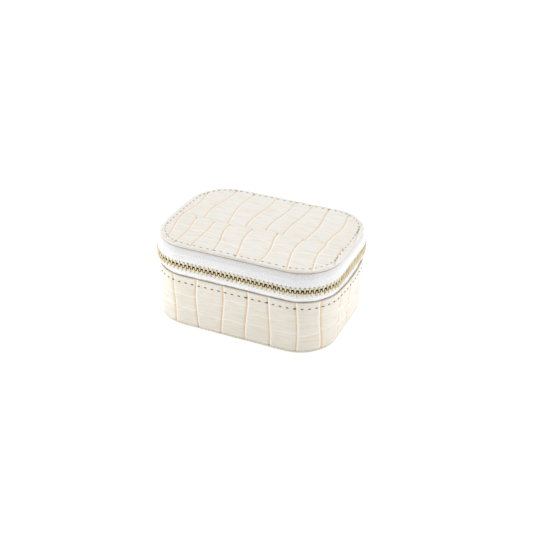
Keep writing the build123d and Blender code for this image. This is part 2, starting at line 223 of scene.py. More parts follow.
# ---- reptile embossing ----
def nearest_crease(c, along, seed, wave, pitch, spread=0.3, wrap=None):
    """Signed distance in mm to the nearest wavy crease line, and the number of the cell it bounds."""
    best = np.full(np.shape(c), 99.0)
    cell = np.zeros(np.shape(c))
    base = np.round(c)
    for shift in (-1, 0, 1):
        k = base + shift
        key = np.mod(k, wrap) if wrap else k
        bend = wave * np.sin(along * (0.09 + 0.05 * chance(key, seed + 3)) + 6.28 * chance(key, seed + 1))
        line = k + (chance(key, seed) - 0.5) * spread + bend / pitch
        d = (c - line) * pitch
        closer = np.abs(d) < np.abs(best)
        cell = np.where(closer, np.where(d > 0, key, key - 1), cell)
        best = np.where(closer, d, best)
    return best, cell


def groove(d, width):
    return np.exp(-((d / width) ** 2))


def pillow(d, reach):
    t = np.clip(np.abs(d) / reach, 0, 1)
    return 1 - (1 - t) ** 2


def wall_relief(s, z):
    """(depth in mm, groove tint, painted highlight beside the grooves, from 0 to 1) of the wall's embossing.
    """
    columns = 23
    pitch = ROUND / columns
    d, cell = nearest_crease(s / pitch - 0.03, z, 2.0, 0.8, pitch, 0.12, columns)
    height = WALL_TOP - WALL_FOOT
    rise = (z - WALL_FOOT) / height
    # The painted highlight lies beyond its groove as far as the front right corner, and before it from there
    # on, on the side of the groove that faces the light.
    side = np.where(s < BREAKS[5] + 14.0, 1.0, -1.0)
    depth = 0.48 * groove(d, 0.42) + 0.24 * (1 - pillow(d, 2.6)) - 0.2 * groove(side * d - 0.95, 0.45)
    tint = 0.95 * groove(side * d + 0.12, 0.42)
    # A pale painted highlight on the side of each groove that would catch the light.
    painted_highlight = 0.95 * groove(side * d - 0.85, 0.42)
    for row, level in enumerate((0.34, 0.68)):
        centre = level + 0.16 * (chance(cell, 11 + row) - 0.5) + 0.05 * np.sin(cell * 3.1)
        curve = 0.012 * np.sin(s * 0.3 + cell)
        dz = (rise - centre - curve) * height
        strength = 0.35 + 0.65 * chance(cell, 21 + row)
        crossing = 0.28 * groove(dz, 0.34) + 0.16 * (1 - pillow(dz, 1.8)) - 0.1 * groove(dz + 0.8, 0.4)
        depth = depth + strength * crossing
        blotch = np.clip(np.sin(s * 0.9 + cell * 2.3) * np.sin(s * 0.37 + cell), 0, 1)
        tint = np.maximum(tint, strength * (0.15 * groove(dz, 0.35) + 0.4 * blotch * groove(dz + 1.9, 0.7)))
        painted_highlight = np.maximum(painted_highlight, strength * 0.9 * groove(dz + 0.65, 0.42))
    return depth, tint, painted_highlight


def front_phase(u):
    """Creases counted along the lid's front row, whose cells are widest a little right of the middle."""
    return 0.227 + 0.0618 * u + 0.735 * ((u - 8.0) / 50.0) ** 3


def front_width(u):
    """The width of the front row's cells at u: one over the slope of front_phase."""
    return 1 / (0.0618 + 0.0441 * ((u - 8.0) / 50.0) ** 2)


def top_relief(x, y):
    """(depth in mm, groove tint, painted highlight beside the grooves) of the lid panel's embossing, in two
    rows of long cells.
    """
    u = x + 0.135 * y - 1.6 * np.exp((y + 6) / 6.0 * (y < -6)) + 1.5
    back_pitch = 13.0
    c_back = (x + 1.3 * np.sin(y * 0.06 + 0.4) - 3.9) / back_pitch
    meet = -6.2 + 3.4 * np.abs(np.sin(math.pi * front_phase(x - 0.9))) + 1.2 * np.sin(x * 0.07)
    is_front = y < meet
    df, kf = nearest_crease(front_phase(u), y, 5.0, 1.3, front_width(u), 0.1)
    db, kb = nearest_crease(c_back, y, 9.0, 1.5, back_pitch, 0.2)
    d, cell = np.where(is_front, df, db), np.where(is_front, kf, kb + 40)
    depth = 0.5 * groove(d, 0.45) + 0.26 * (1 - pillow(d, 3.0)) - 0.12 * groove(d - 0.95, 0.4)
    tint = 0.85 * groove(d, 0.42)
    # A pale painted highlight beside each groove.
    painted_highlight = 0.9 * groove(d - 0.9, 0.4)
    dm = np.abs(y - meet)
    depth = depth + 0.2 * groove(dm, 0.5) + 0.1 * (1 - pillow(dm, 2.2))
    tint = np.maximum(tint, 0.3 * groove(dm, 0.45))
    cross_creases = (-28.0, -17.0, 8.0, 26.0)
    for row, centre in enumerate(cross_creases):
        level = centre + 6.0 * (chance(cell, 31 + row) - 0.5) + 0.9 * np.sin(x * 0.3 + cell)
        dz = y - level
        strength = (0.25 + 0.75 * chance(cell, 41 + row)) * (1.0 if centre < 0 else 0.45)
        depth = depth + strength * (0.18 * groove(dz, 0.4) + 0.08 * (1 - pillow(dz, 1.6)))
        tint = np.maximum(tint, strength * 0.4 * groove(dz, 0.4))
        painted_highlight = np.maximum(painted_highlight, strength * 0.7 * groove(dz + 0.85, 0.45))
    return depth, tint, painted_highlight


# ---- materials ----
def material(name):
    m = bpy.data.materials.new(name)
    m.use_nodes = True
    tree = m.node_tree
    shader = tree.nodes["Principled BSDF"]
    return m, tree, shader


def add(tree, kind, inputs=None, **settings):
    node = tree.nodes.new(kind)
    for key, value in settings.items():
        setattr(node, key, value)
    for key, value in (inputs or {}).items():
        if isinstance(value, bpy.types.NodeSocket):
            tree.links.new(value, node.inputs[key])
        else:
            node.inputs[key].default_value = value
    return node


def set_inputs(shader, values):
    for key, value in values.items():
        shader.inputs[key].default_value = value


def attribute(tree, name, output="Fac"):
    return add(tree, "ShaderNodeAttribute", attribute_name=name).outputs[output]


def ramp(tree, value, high=1.0, low_at=0.3, high_at=0.7):
    """A rise from black to the grey 'high'."""
    node = add(tree, "ShaderNodeValToRGB", {"Fac": value})
    first, last = node.color_ramp.elements[0], node.color_ramp.elements[1]
    first.position, last.position = low_at, high_at
    first.color, last.color = (0, 0, 0, 1), (high, high, high, 1)
    return node.outputs["Color"]


def scaled(colour, factor):
    """A colour multiplied by one factor, or by one factor for each channel."""
    return np.minimum(np.array(colour) * factor, 1.0).tolist()


def mix(tree, fac, a, b):
    node = add(tree, "ShaderNodeMix", data_type="RGBA")
    for socket, value in ((node.inputs[0], fac), (node.inputs[6], a), (node.inputs[7], b)):
        if isinstance(value, bpy.types.NodeSocket):
            tree.links.new(value, socket)
        elif isinstance(value, (int, float)):
            socket.default_value = value
        else:
            socket.default_value = (*value, 1)
    return node.outputs[2]


def noise(tree, scale, detail, stretch=(1, 1, 1)):
    source = add(tree, "ShaderNodeTexCoord").outputs["Object"]
    mapping = add(tree, "ShaderNodeMapping", {"Vector": source, "Scale": stretch})
    inputs = {"Vector": mapping.outputs[0], "Scale": scale, "Detail": detail}
    return add(tree, "ShaderNodeTexNoise", inputs).outputs["Fac"]


def bumps(tree, shader, layers):
    """Layers of (height socket, strength, distance in metres), each on top of the last."""
    normal = None
    for height, strength, distance in layers:
        node = add(tree, "ShaderNodeBump", {"Height": height, "Strength": strength, "Distance": distance})
        if normal is not None:
            tree.links.new(normal, node.inputs["Normal"])
        normal = node.outputs["Normal"]
    tree.links.new(normal, shader.inputs["Normal"])


def leather_material(name, base, tan, streak_axis):
    m, tree, shader = material(name)
    streaks = noise(tree, 95, 5, streak_axis)
    mottle = noise(tree, 45, 3)
    fine = noise(tree, 700, 3)
    colour = mix(tree, ramp(tree, streaks, 1.0, 0.47, 0.7), base, scaled(base, (0.95, 0.875, 0.745)))
    colour = mix(tree, ramp(tree, mottle, 0.5, 0.45, 0.75), colour, scaled(base, (0.96, 0.93, 0.87)))
    colour = mix(tree, attribute(tree, "groove"), colour, tan)
    # Painted highlight: a pale colour beside the grooves, standing in for light caught by their raised sides.
    colour = mix(tree, attribute(tree, "painted_highlight"), colour, PAINTED_HIGHLIGHT)
    # Painted shadow: the 'dark' mark turns the colour dark brown along the gaps at the leather's edges, where
    # shade falls.
    colour = mix(tree, attribute(tree, "dark"), colour, PAINTED_SHADOW)
    tree.links.new(colour, shader.inputs["Base Color"])
    rough = add(tree, "ShaderNodeMapRange", {"Value": mottle, "To Min": 0.3, "To Max": 0.46})
    tree.links.new(rough.outputs[0], shader.inputs["Roughness"])
    set_inputs(shader, {"Specular IOR Level": 0.45, "Coat Weight": 0.15, "Coat Roughness": 0.28})
    pebble = add(tree, "ShaderNodeTexVoronoi", {"Scale": 900.0}, feature="DISTANCE_TO_EDGE")
    pebble = pebble.outputs["Distance"]
    grain = noise(tree, 160, 4)
    bumps(tree, shader, [(grain, 0.35, 0.0003), (pebble, 0.25, 0.00012), (fine, 0.2, 0.0001)])
    return m


def velvet_material(name, base):
    m, tree, shader = material(name)
    pile = noise(tree, 1400, 3)
    nap = noise(tree, 60, 3)
    colour = mix(tree, nap, scaled(base, 0.86), scaled(base, 1.08))
    colour = mix(tree, ramp(tree, pile, 0.35), colour, scaled(base, 0.7))
    tree.links.new(colour, shader.inputs["Base Color"])
    set_inputs(shader, {"Roughness": 0.92, "Sheen Weight": 0.7, "Sheen Roughness": 0.35})
    bumps(tree, shader, [(nap, 0.3, 0.0004), (pile, 0.5, 0.0002)])
    return m


def tape_material(name, base):
    m, tree, shader = material(name)
    place = attribute(tree, "place", "Vector")
    slant = add(tree, "ShaderNodeMapping", {"Vector": place, "Rotation": (0, 0, math.radians(52))})
    twill_inputs = {"Vector": slant.outputs[0], "Scale": 290.0, "Distortion": 0.4, "Detail": 1.0}
    twill = add(tree, "ShaderNodeTexWave", twill_inputs)
    cross_inputs = {"Vector": place, "Scale": 330.0, "Distortion": 0.2, "Detail": 0.0}
    cross = add(tree, "ShaderNodeTexWave", cross_inputs)
    weave = mix(tree, 0.4, twill.outputs["Color"], cross.outputs["Color"])
    fuzz = noise(tree, 900, 2)
    colour = mix(tree, weave, scaled(base, 0.75), base)
    colour = mix(tree, ramp(tree, fuzz, 0.3), colour, scaled(base, 0.82))
    tree.links.new(colour, shader.inputs["Base Color"])
    set_inputs(shader, {"Roughness": 0.78, "Sheen Weight": 0.25})
    bumps(tree, shader, [(weave, 0.7, 0.00022), (fuzz, 0.3, 0.0001)])
    return m


def metal_material(name, base, dark):
    m, tree, shader = material(name)
    patina = noise(tree, 350, 4)
    brushed = noise(tree, 500, 3, (1, 1, 6))
    colour = mix(tree, ramp(tree, patina, 1.0, 0.42, 0.72), base, dark)
    tree.links.new(colour, shader.inputs["Base Color"])
    set_inputs(shader, {"Metallic": 1.0})
    rough = add(tree, "ShaderNodeMapRange", {"Value": brushed, "To Min": 0.24, "To Max": 0.44})
    tree.links.new(rough.outputs[0], shader.inputs["Roughness"])
    bumps(tree, shader, [(patina, 0.15, 0.0001), (brushed, 0.12, 0.00005)])
    return m


def thread_material(name, base):
    m, tree, shader = material(name)
    wave = add(tree, "ShaderNodeTexWave", {"Scale": 900.0, "Distortion": 1.0}, bands_direction="DIAGONAL")
    ply = wave.outputs["Color"]
    tree.links.new(mix(tree, ply, scaled(base, 0.65), base), shader.inputs["Base Color"])
    set_inputs(shader, {"Roughness": 0.6})
    bumps(tree, shader, [(ply, 0.6, 0.0001)])
    return m


def board_material(name, base):
    m, tree, shader = material(name)
    fibre = noise(tree, 500, 5, (1, 1, 5))
    tree.links.new(mix(tree, fibre, scaled(base, 0.8), base), shader.inputs["Base Color"])
    set_inputs(shader, {"Roughness": 0.9})
    bumps(tree, shader, [(fibre, 0.4, 0.0002)])
    return m


# The lid's leather is a paler, less yellow copy of the wall's ivory: painted light, for how the top face
# looks under the light from above.
IVORY_TOP_PAINTED_LIGHT = (0.75, 0.735, 0.69)
IVORY = (0.745, 0.715, 0.645)
TAN = (0.81, 0.57, 0.285)
# The colour of the painted highlight beside the grooves.
PAINTED_HIGHLIGHT = (0.93, 0.92, 0.90)
# The colour of the painted shadow in the gaps at the leather's edges.
PAINTED_SHADOW = (0.26, 0.18, 0.11)
top_leather_painted_light = leather_material("ivory_leather_top_painted_light", IVORY_TOP_PAINTED_LIGHT, TAN, (1, 7, 1))
wall_leather = leather_material("ivory_leather_wall", IVORY, TAN, (1, 1, 9))
velvet = velvet_material("velvet", (0.70, 0.62, 0.51))
tape_cloth = tape_material("zip_tape", (0.95, 0.95, 0.955))
antique_brass = metal_material("antique_brass", (0.64, 0.555, 0.36), (0.40, 0.33, 0.205))
# The wall's thread is near black: painted shade standing in for the shadow in the stitch holes. The lid's
# pale thread has the thread's own colour.
thread = thread_material("thread", (0.105, 0.095, 0.08))
pale_thread = thread_material("pale_thread", (0.40, 0.385, 0.36))
board = board_material("grey_board", (0.42, 0.40, 0.37))
elastic_cloth = tape_material("elastic", (0.66, 0.58, 0.48))


def dress(piece, look, slot, body, *nodes):
    """Gives a piece its material, the nodes it replaces and, unless body is None, its body. The slot argument
    is not used.
    """
    piece.data.materials.append(look)
    if nodes:
        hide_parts(*nodes)
    if body:
        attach(piece, body)
    return piece


# ---- camera ----
view_az, view_el, view_roll = math.radians(23.55), math.radians(29.69), math.radians(0.94)
camera_away = 0.5928
target = Vector((0, 0, 0.0253))
level = math.cos(view_el)
back = Vector((math.sin(view_az) * level, -math.cos(view_az) * level, math.sin(view_el)))
camera_data = bpy.data.cameras.new("camera")
camera = bpy.data.objects.new("camera", camera_data)
bpy.context.scene.collection.objects.link(camera)
camera.location = target + back * camera_away
camera.rotation_euler = back.to_track_quat("Z", "Y").to_euler()
camera.rotation_euler.rotate_axis("Z", view_roll)
camera_data.sensor_width = 36
camera_data.lens = 65.64
camera_data.shift_x, camera_data.shift_y = 0.0087, 0.0033
camera_data.clip_start = 0.01
bpy.context.scene.camera = camera


# ---- lights and floor ----
def area_light(name, place, size, power):
    """A square white light aimed at the middle of the case."""
    data = bpy.data.lights.new(name, "AREA")
    data.size, data.energy = size, power
    lamp = bpy.data.objects.new(name, data)
    lamp.location = place
    lamp.rotation_euler = (Vector(place) - target).to_track_quat("Z", "Y").to_euler()
    bpy.context.scene.collection.objects.link(lamp)


area_light("key_right", (0.6, 0.15, 0.2), 0.3, 0.5)
area_light("top", (-0.05, 0.3, 0.7), 0.4, 1.35)
area_light("front_left", (-0.2, -0.14, 0.06), 0.08, 0.12)
world = bpy.data.worlds.new("studio")
world.use_nodes = True
sky = world.node_tree
direction = add(sky, "ShaderNodeTexCoord").outputs["Generated"]
facing = add(sky, "ShaderNodeSeparateXYZ", {"Vector": direction})
# The surroundings are dimmer in front, where y is negative, than behind.
front_dim = add(
    sky,
    "ShaderNodeMapRange",
    {"Value": facing.outputs["Y"], "From Min": -1.0, "From Max": 0.2, "To Min": 0.47, "To Max": 1.03},
)
sky.links.new(front_dim.outputs[0], sky.nodes["Background"].inputs["Color"])
sky.nodes["Background"].inputs["Strength"].default_value = 1.0
bpy.context.scene.world = world
bpy.context.scene.view_settings.view_transform = "Standard"

floor_mat, floor_tree, floor_shader = material("floor")
floor_tone = noise(floor_tree, 6, 2)
floor_colour = mix(floor_tree, floor_tone, (0.93, 0.93, 0.93), (0.95, 0.95, 0.95))
floor_tree.links.new(floor_colour, floor_shader.inputs["Base Color"])
set_inputs(floor_shader, {"Roughness": 0.7, "Emission Color": (1, 1, 1, 1), "Emission Strength": 0.35})
reach, floor_z = 9000, -0.05
corners = [(x * reach, y * reach, floor_z) for x, y in ((-1, -1), (1, -1), (1, 1), (-1, 1))]
floor = new_object("floor", corners, [(0, 1, 2, 3)])
floor.data.materials.append(floor_mat)


# ---- base leather ----
def side_bow(s, z):
    """How far the short sides bow outward, most at the top of the leather."""
    middles = (BREAKS[2] + STRAIGHT_Y, BREAKS[6] + STRAIGHT_Y)
    reach = 34.0
    bump = sum(np.cos(np.clip(np.abs(s - m) / reach, 0, 1) * math.pi / 2) ** 2 for m in middles)
    return WALL_BOW * bump * np.clip(z / WALL_TOP, 0, 1) ** 0.8


def leather_wall():
    s = even_samples(0.45)
    z = np.linspace(WALL_FOOT + 0.5, WALL_TOP - 0.5, 72)
    lip = [(-1.15, WALL_FOOT + 0.02), (-0.45, WALL_FOOT + 0.02), (-0.12, WALL_FOOT + 0.18)]
    fold = [(-0.1, WALL_TOP - 0.15), (-0.35, WALL_TOP - 0.01), (-0.8, WALL_TOP), (-1.15, WALL_TOP - 0.1)]
    outs = np.concatenate([[p[0] for p in lip], np.zeros(len(z)), [p[0] for p in fold]])
    heights = np.concatenate([[p[1] for p in lip], z, [p[1] for p in fold]])
    ss, zz = np.meshgrid(s, heights, indexing="ij")
    depth, tint, painted_highlight = wall_relief(ss, zz)
    depth = depth + 0.14 * groove(zz - WALL_SEAM, 0.55) - 0.05 * groove(zz - (WALL_TOP - 1.6), 1.0)
    edge = np.clip((zz - WALL_FOOT) / 5.0, 0, 1)
    depth = depth + 0.35 * (1 - edge) ** 2
    # The embossing leaves out the folded edges, apart from the point nearest the face.
    skin = np.zeros(len(heights))
    skin[2:-3] = 1
    outs = outs[None, :] - depth * skin[None, :] + side_bow(ss, zz)
    # Painted shadow: a dark line in the gap under the tape at the leather's top, and painted shade, broken
    # into patches, in the crevice above the bottom cover.
    patchy = 0.55 + 0.45 * np.sin(ss * 2.1 + 2.0 * np.sin(ss * 0.7))
    painted_edge_shadows = 0.5 * groove(zz - WALL_TOP, 0.25) + 0.7 * patchy * groove(zz - WALL_FOOT, 0.35)
    marks = {"groove": np.clip(tint, 0, 1), "dark": np.clip(painted_edge_shadows, 0, 1), "painted_highlight": painted_highlight}
    return wall_band("leather_wall", s, outs, heights, marks=marks)


# In metres.
JOIN_WITHIN = 4e-6


def disc_rings(rings, counts, half_x, half_y, radius):
    """Points (x, y) of rounded rectangles, each inset by a distance, from the middle of the back."""
    inset = np.asarray(rings)[:, None]
    b = half_y - inset
    a = half_x - inset
    r = radius * b / half_y
    found_x, found_y = [], []
    turn = math.pi / 2
    for i in range(9):
        t = np.linspace(0, 1, counts[i], endpoint=False)[None, :]
        if i % 2:
            cx = np.sign(math.cos(turn + 0.7)) * (a - r)
            cy = np.sign(math.sin(turn + 0.7)) * (b - r)
            ang = turn + t * math.pi / 2
            found_x.append(cx + r * np.cos(ang))
            found_y.append(cy + r * np.sin(ang))
            turn += math.pi / 2
        else:
            tx, ty = round(-math.sin(turn)), round(math.cos(turn))
            nx, ny = round(math.cos(turn)), round(math.sin(turn))
            reach = (a - r) if tx else (b - r)
            lead = t if i == 0 else (t - 1 if i == 8 else 2 * t - 1)
            found_x.append(nx * a + tx * reach * lead)
            found_y.append(ny * b + ty * reach * lead)
    return np.concatenate(found_x, 1), np.concatenate(found_y, 1)


def stretch_counts(step):
    """Samples in each stretch. The front has as many as both halves of the back, so a centre closes."""
    half, arc, side = (max(2, int(round(length / step))) for length in STRETCHES[:3])
    return [half, arc, side, arc, 2 * half, arc, side, arc, half]


def plate(name, points, marks=None):
    """A piece from a disc's rings. The two sides of the innermost, which has shrunk to a line, are joined."""
    piece = grid(name, points, caps=("first",), marks=marks)
    shape = bmesh.new()
    shape.from_mesh(piece.data)
    bmesh.ops.remove_doubles(shape, verts=shape.verts, dist=JOIN_WITHIN)
    shape.to_mesh(piece.data)
    shape.free()
    return piece


def disc(half_x, half_y, radius, profile, relief, step):
    """Rings of points along a profile (inset, z, share of the relief), and marks from relief(x, y)."""
    insets = [p[0] for p in profile]
    x, y = disc_rings(insets, stretch_counts(step), half_x, half_y, radius)
    z = np.broadcast_to(np.array([p[1] for p in profile])[:, None], x.shape).copy()
    share = np.array([p[2] for p in profile])[:, None]
    depth, *tints = relief(x, y)
    points = np.stack([x, y, z - depth * share], axis=-1)
    shown = np.clip(share * 1.5, 0, 1)
    marks = {label: np.clip(t * shown, 0, 1) for label, t in zip(("groove", "painted_highlight"), tints)}
    return points, marks


def panel_bow(x, y):
    """How far the panel's short ends bow outward, as a shift in x."""
    middle = np.cos(np.clip(y / panel_high[1], -1, 1) * math.pi / 2) ** 2
    return PANEL_BOW * (x / panel_high[0]) ** 3 * middle


def lid_panel():
    half_x, half_y = panel_high[0], panel_high[1]
    foot, top = PANEL_FOOT, PANEL_TOP
    thick = top - foot
    profile = [(4.0, foot, 0), (2.0, foot, 0), (0.45, foot, 0), (0.12, foot + 0.12, 0)]
    profile += [(0.0, foot + 0.4, 0), (0.0, foot + thick * 0.55, 0), (0.1, top - 0.42, 0.2)]
    profile += [(0.3, top - 0.2, 0.4), (0.65, top - 0.07, 0.7)]
    profile += [(d, top - 0.03, 1.0) for d in np.linspace(1.0, half_y, 97)]

    def relief(x, y):
        depth, tint, painted_highlight = top_relief(x, y)
        d = np.array([p[0] for p in profile])[:, None]
        depth = depth + 0.16 * groove(d - PANEL_SEAM, 0.55) - 0.05 * groove(d - 1.5, 0.9)
        depth = depth + 0.14 * pillow(np.clip(d - 3.6, 0, 9), 4)
        # The colour in the grooves fades to the back and to the rim, and the painted highlight fades to the
        # back.
        far = 1 - 0.45 * np.clip((y - 2) / 30, 0, 1)
        rim = 0.35 + 0.65 * np.clip(d / 3.6, 0, 1) ** 2
        return depth, tint * far * rim, painted_highlight * far

    points, marks = disc(half_x, half_y, CORNER_R + PANEL_OUT, profile, relief, 0.43)
    points[..., 0] += panel_bow(points[..., 0], points[..., 1])
    # Painted shadow: the rim's underside and lowest edge are dark, for the shade under the panel.
    shadow_under_rim = np.array([0.9 if z < foot + 0.5 else 0.0 for _, z, _ in profile])
    marks["dark"] = np.broadcast_to(shadow_under_rim[:, None], points.shape[:2])
    return plate("lid_panel", points, marks)


dress(leather_wall(), wall_leather, "ivory_leather", "base", "base_leather_wall")
dress(lid_panel(), top_leather_painted_light, "ivory_leather", "lid", "lid_leather_panel")


def bottom_cover():
    _, high = node_box("base_leather_bottom")
    half_x, half_y, top = high
    profile = [(3.0, top, 0), (0.5, top, 0), (0.15, top - 0.12, 0), (0.0, top - 0.4, 0)]
    profile += [(0.0, 0.75, 0), (0.15, 0.35, 0), (0.45, 0.08, 0), (0.9, 0.0, 0)]
    profile += [(d, 0.0, 0) for d in np.linspace(1.4, half_y, 61)]
    points, marks = disc(half_x, half_y, CORNER_R - 0.3, profile, lambda x, y: (0 * x, 0.25 + 0 * x), 0.9)
    return plate("bottom_cover", points, marks)


dress(bottom_cover(), wall_leather, "ivory_leather", "base", "base_leather_bottom")


# ---- zip ----
TOOTH_PITCH = 2.66
slider_low, slider_high = node_box("slider_body")
slider_y = (slider_low[1] + slider_high[1]) / 2
corner_run = (CORNER_R + CHAIN_OUT) * math.pi / 2
# The chain runs from just before the slider's middle to 62 degrees round the last corner.
chain_start = corner_run + (STRAIGHT_Y - slider_y) - 1.0
chain_length = 4 * corner_run + 4 * STRAIGHT_Y + 2 * STRAIGHT_X
chain_end = chain_length - corner_run * (1 - 62.0 / 90)
tooth_places = chain_start + TOOTH_PITCH * np.arange(int((chain_end - chain_start) / TOOTH_PITCH))
# The tapes are bare up to the first distance and from the second on.
BARE_UNTIL = float(chain_distance(chain_start - 6.0))
BARE_AFTER = float(chain_distance(tooth_places[-1] + 2.6 * TOOTH_PITCH))
ZIP_START, ZIP_END = STRAIGHT_X, ROUND - STRAIGHT_X
zip_s = np.linspace(ZIP_START, ZIP_END, 1000)


def tape(name, profile, body, node):
    """One of the zip's two tapes, ribbed and a little puckered."""
    shape = resample(rounded(profile, 0.25, 3), 0.55)
    ss, zz = np.meshgrid(zip_s, shape[:, 1], indexing="ij")
    ribs = 0.035 * np.sin(ss * 2 * math.pi / 1.3 + zz * 2.2)
    pucker = 0.09 * np.sin(ss * 0.42 + 1.3 * np.sin(ss * 0.11))
    away = np.clip(np.abs(zz - ZIP_Z) / 5.0 - 0.5, 0, 1)
    outs = shape[:, 0][None, :] + ribs + pucker * away
    # The tape bows with the leather in front of it, and less and less above the leather.
    outs = outs + side_bow(ss, zz) * np.clip((36.9 - zz) / 2.7, 0, 1)
    # Bare edges nearly meet, with more room beside the hinge, where they swing past each other.
    bare = np.clip((BARE_UNTIL - zip_s) / 3.0, 0, 1) + np.clip((zip_s - BARE_AFTER) / 3.0, 0, 1)
    from_hinge = np.minimum(zip_s - ZIP_START, ZIP_END - zip_s)
    pull = bare * (TAPE_EDGE - np.clip(0.65 - from_hinge**2 / 48, 0.13, 1))
    from_middle = zz - ZIP_Z
    near_edge = np.clip(1 - (np.abs(from_middle) - TAPE_EDGE) / 2.6, 0, 1)
    zz = zz - np.sign(from_middle) * pull[:, None] * near_edge
    piece = wall_band(name, zip_s, outs, zz, False, ("first", "last"))
    return dress(piece, tape_cloth, "zip_tape", body, node)


inner, outer = CHAIN_OUT - TAPE_T / 2, CHAIN_OUT + TAPE_T / 2
upper_edge, lower_edge = ZIP_Z + TAPE_EDGE, ZIP_Z - TAPE_EDGE
profile = [(inner, upper_edge), (outer, upper_edge), (outer, 46.2), (0.55, 49.0)]
profile += [(-1.25, 52.15), (-1.75, 52.15), (0.1, 49.0), (inner, 46.4)]
tape("lid_tape", profile, "lid", "lid_zip_tape")
profile = [(inner, lower_edge), (inner, 37.4), (-1.75, 34.2), (-1.75, 27.0)]
profile += [(-1.25, 27.0), (-1.22, 34.0), (outer, 37.1), (outer, lower_edge)]
tape("base_tape", profile, "base", "base_zip_tape")


def tooth_shape():
    """One tooth with its legs up: outlines (along, z) through its thickness, from the outside inward."""
    half = 0.56
    side = [(-half, 0.7), (-half, 2.6), (-0.38, 2.84), (0.38, 2.84), (half, 2.6), (half, 0.7), (0.44, 0.2)]
    side += [(0.4, -0.2), (0.25, -0.5), (0.0, -TOOTH_HEAD), (-0.25, -0.5), (-0.4, -0.2), (-0.44, 0.2)]
    outline = np.array(side)
    middle = outline.mean(axis=0)
    layers = []
    for x, share in ((0.9, 0.62), (0.84, 0.84), (0.66, 1.0), (-0.85, 1.0), (-1.04, 0.84), (-1.1, 0.62)):
        flat = middle + (outline - middle) * share
        layers.append(np.column_stack([np.full(len(flat), x), flat]))
    return np.array(layers)


def moved(faces, start):
    return [[v + start for v in face] for face in faces]


def turned(faces):
    return [face[::-1] for face in faces]


def tube_faces(rows, ring):
    """Quads round rows of rings, closed at the first and the last."""
    ends = [list(range(ring))[::-1], [(rows - 1) * ring + j for j in range(ring)]]
    return grid_faces(rows, ring, False, True) + ends


def teeth(name, distances, turn_over, body, node):
    """Teeth at distances along the wall, in one mesh. A tooth's x points outward."""
    shape = tooth_shape()
    faces = tube_faces(*shape.shape[:2])
    x, y, angle = route(distances, CHAIN_OUT)
    local = shape.reshape(-1, 3) * ((1, -1, -1) if turn_over else (1, 1, 1))
    points, all_faces = [], []
    for i in range(len(distances)):
        cos, sin = math.cos(angle[i]), math.sin(angle[i])
        px = x[i] + local[:, 0] * cos - local[:, 1] * sin
        py = y[i] + local[:, 0] * sin + local[:, 1] * cos
        points.append(np.column_stack([px, py, ZIP_Z + local[:, 2]]))
        all_faces += moved(faces, i * len(local))
    piece = new_object(name, np.concatenate(points), all_faces)
    piece.data.set_sharp_from_angle(angle=math.radians(40))
    return dress(piece, antique_brass, "antique_brass", body, node)


teeth("lid_teeth", chain_distance(tooth_places), False, "lid", "lid_zip_teeth")
teeth("base_teeth", chain_distance(tooth_places + TOOTH_PITCH / 2), True, "base", "base_zip_teeth")


# ---- puller ----
def puller():
    """The tab: a flat bar with a raised rim and a sunk middle on both faces, a neck and a round loop."""
    low, high = node_box("pull_tab")
    bar_x, bar_y = (low[0] + high[0]) / 2, (low[1] + high[1]) / 2
    loop_z = high[2] - 1.55
    length = loop_z - 1.9 - low[2]
    half_l, half_w = length / 2, (high[1] - low[1]) / 2
    rim = [(half_w - 0.05, 0.3), (2.2, 0.3), (1.35, 0.3), (1.1, 0.42)]
    rim += [(0.9, 0.52), (0.6, 0.55), (0.3, 0.5), (0.08, 0.33)]
    profile = [(d, -h) for d, h in rim] + [(0.0, 0.0)] + [(d, h) for d, h in reversed(rim)]
    counts = [6, 10, 14, 10, 24, 10, 14, 10, 6]
    along, across = disc_rings([p[0] for p in profile], counts, half_l, half_w, 2.6)
    thick = np.array([p[1] for p in profile])[:, None] + 0 * along
    points = np.stack([bar_x - thick, bar_y + across, low[2] + half_l + along], axis=-1)
    rows, cols = points.shape[:2]
    faces = grid_faces(rows, cols, False, True)
    faces += [list(range(cols)), [(rows - 1) * cols + j for j in reversed(range(cols))]]
    round_loop, round_tube = 40, 16
    u = np.linspace(0, 2 * math.pi, round_loop, endpoint=False)
    v = np.linspace(0, 2 * math.pi, round_tube, endpoint=False)
    u, v = np.meshgrid(u, v, indexing="ij")
    tube = 1.2 + 0.35 * np.cos(v)
    wide = np.clip(np.sin(v) * 1.5, -1, 1) * 1.15
    loop = np.stack([bar_x + tube * np.cos(u), bar_y + wide, loop_z + tube * np.sin(u)], axis=-1)
    faces += moved(grid_faces(round_loop, round_tube, True, True), rows * cols)
    neck_x, neck_y = 0.35, 1.15
    foot = ((-neck_x, -neck_y), (neck_x, -neck_y), (neck_x, neck_y), (-neck_x, neck_y))
    neck = [(bar_x + x, bar_y + y, z) for z in (loop_z - 2.2, loop_z - 1.3) for x, y in foot]
    neck_faces = [[3, 2, 1, 0], [4, 5, 6, 7]] + turned(grid_faces(2, 4, False, True))
    faces += moved(neck_faces, rows * cols + round_loop * round_tube)
    verts = [points.reshape(-1, 3), loop.reshape(-1, 3), np.array(neck)]
    piece = new_object("puller", np.concatenate(verts), faces)
    piece.data.set_sharp_from_angle(angle=math.radians(35))
    return dress(piece, antique_brass, "antique_brass", "pull_tab", "pull_tab")


puller()


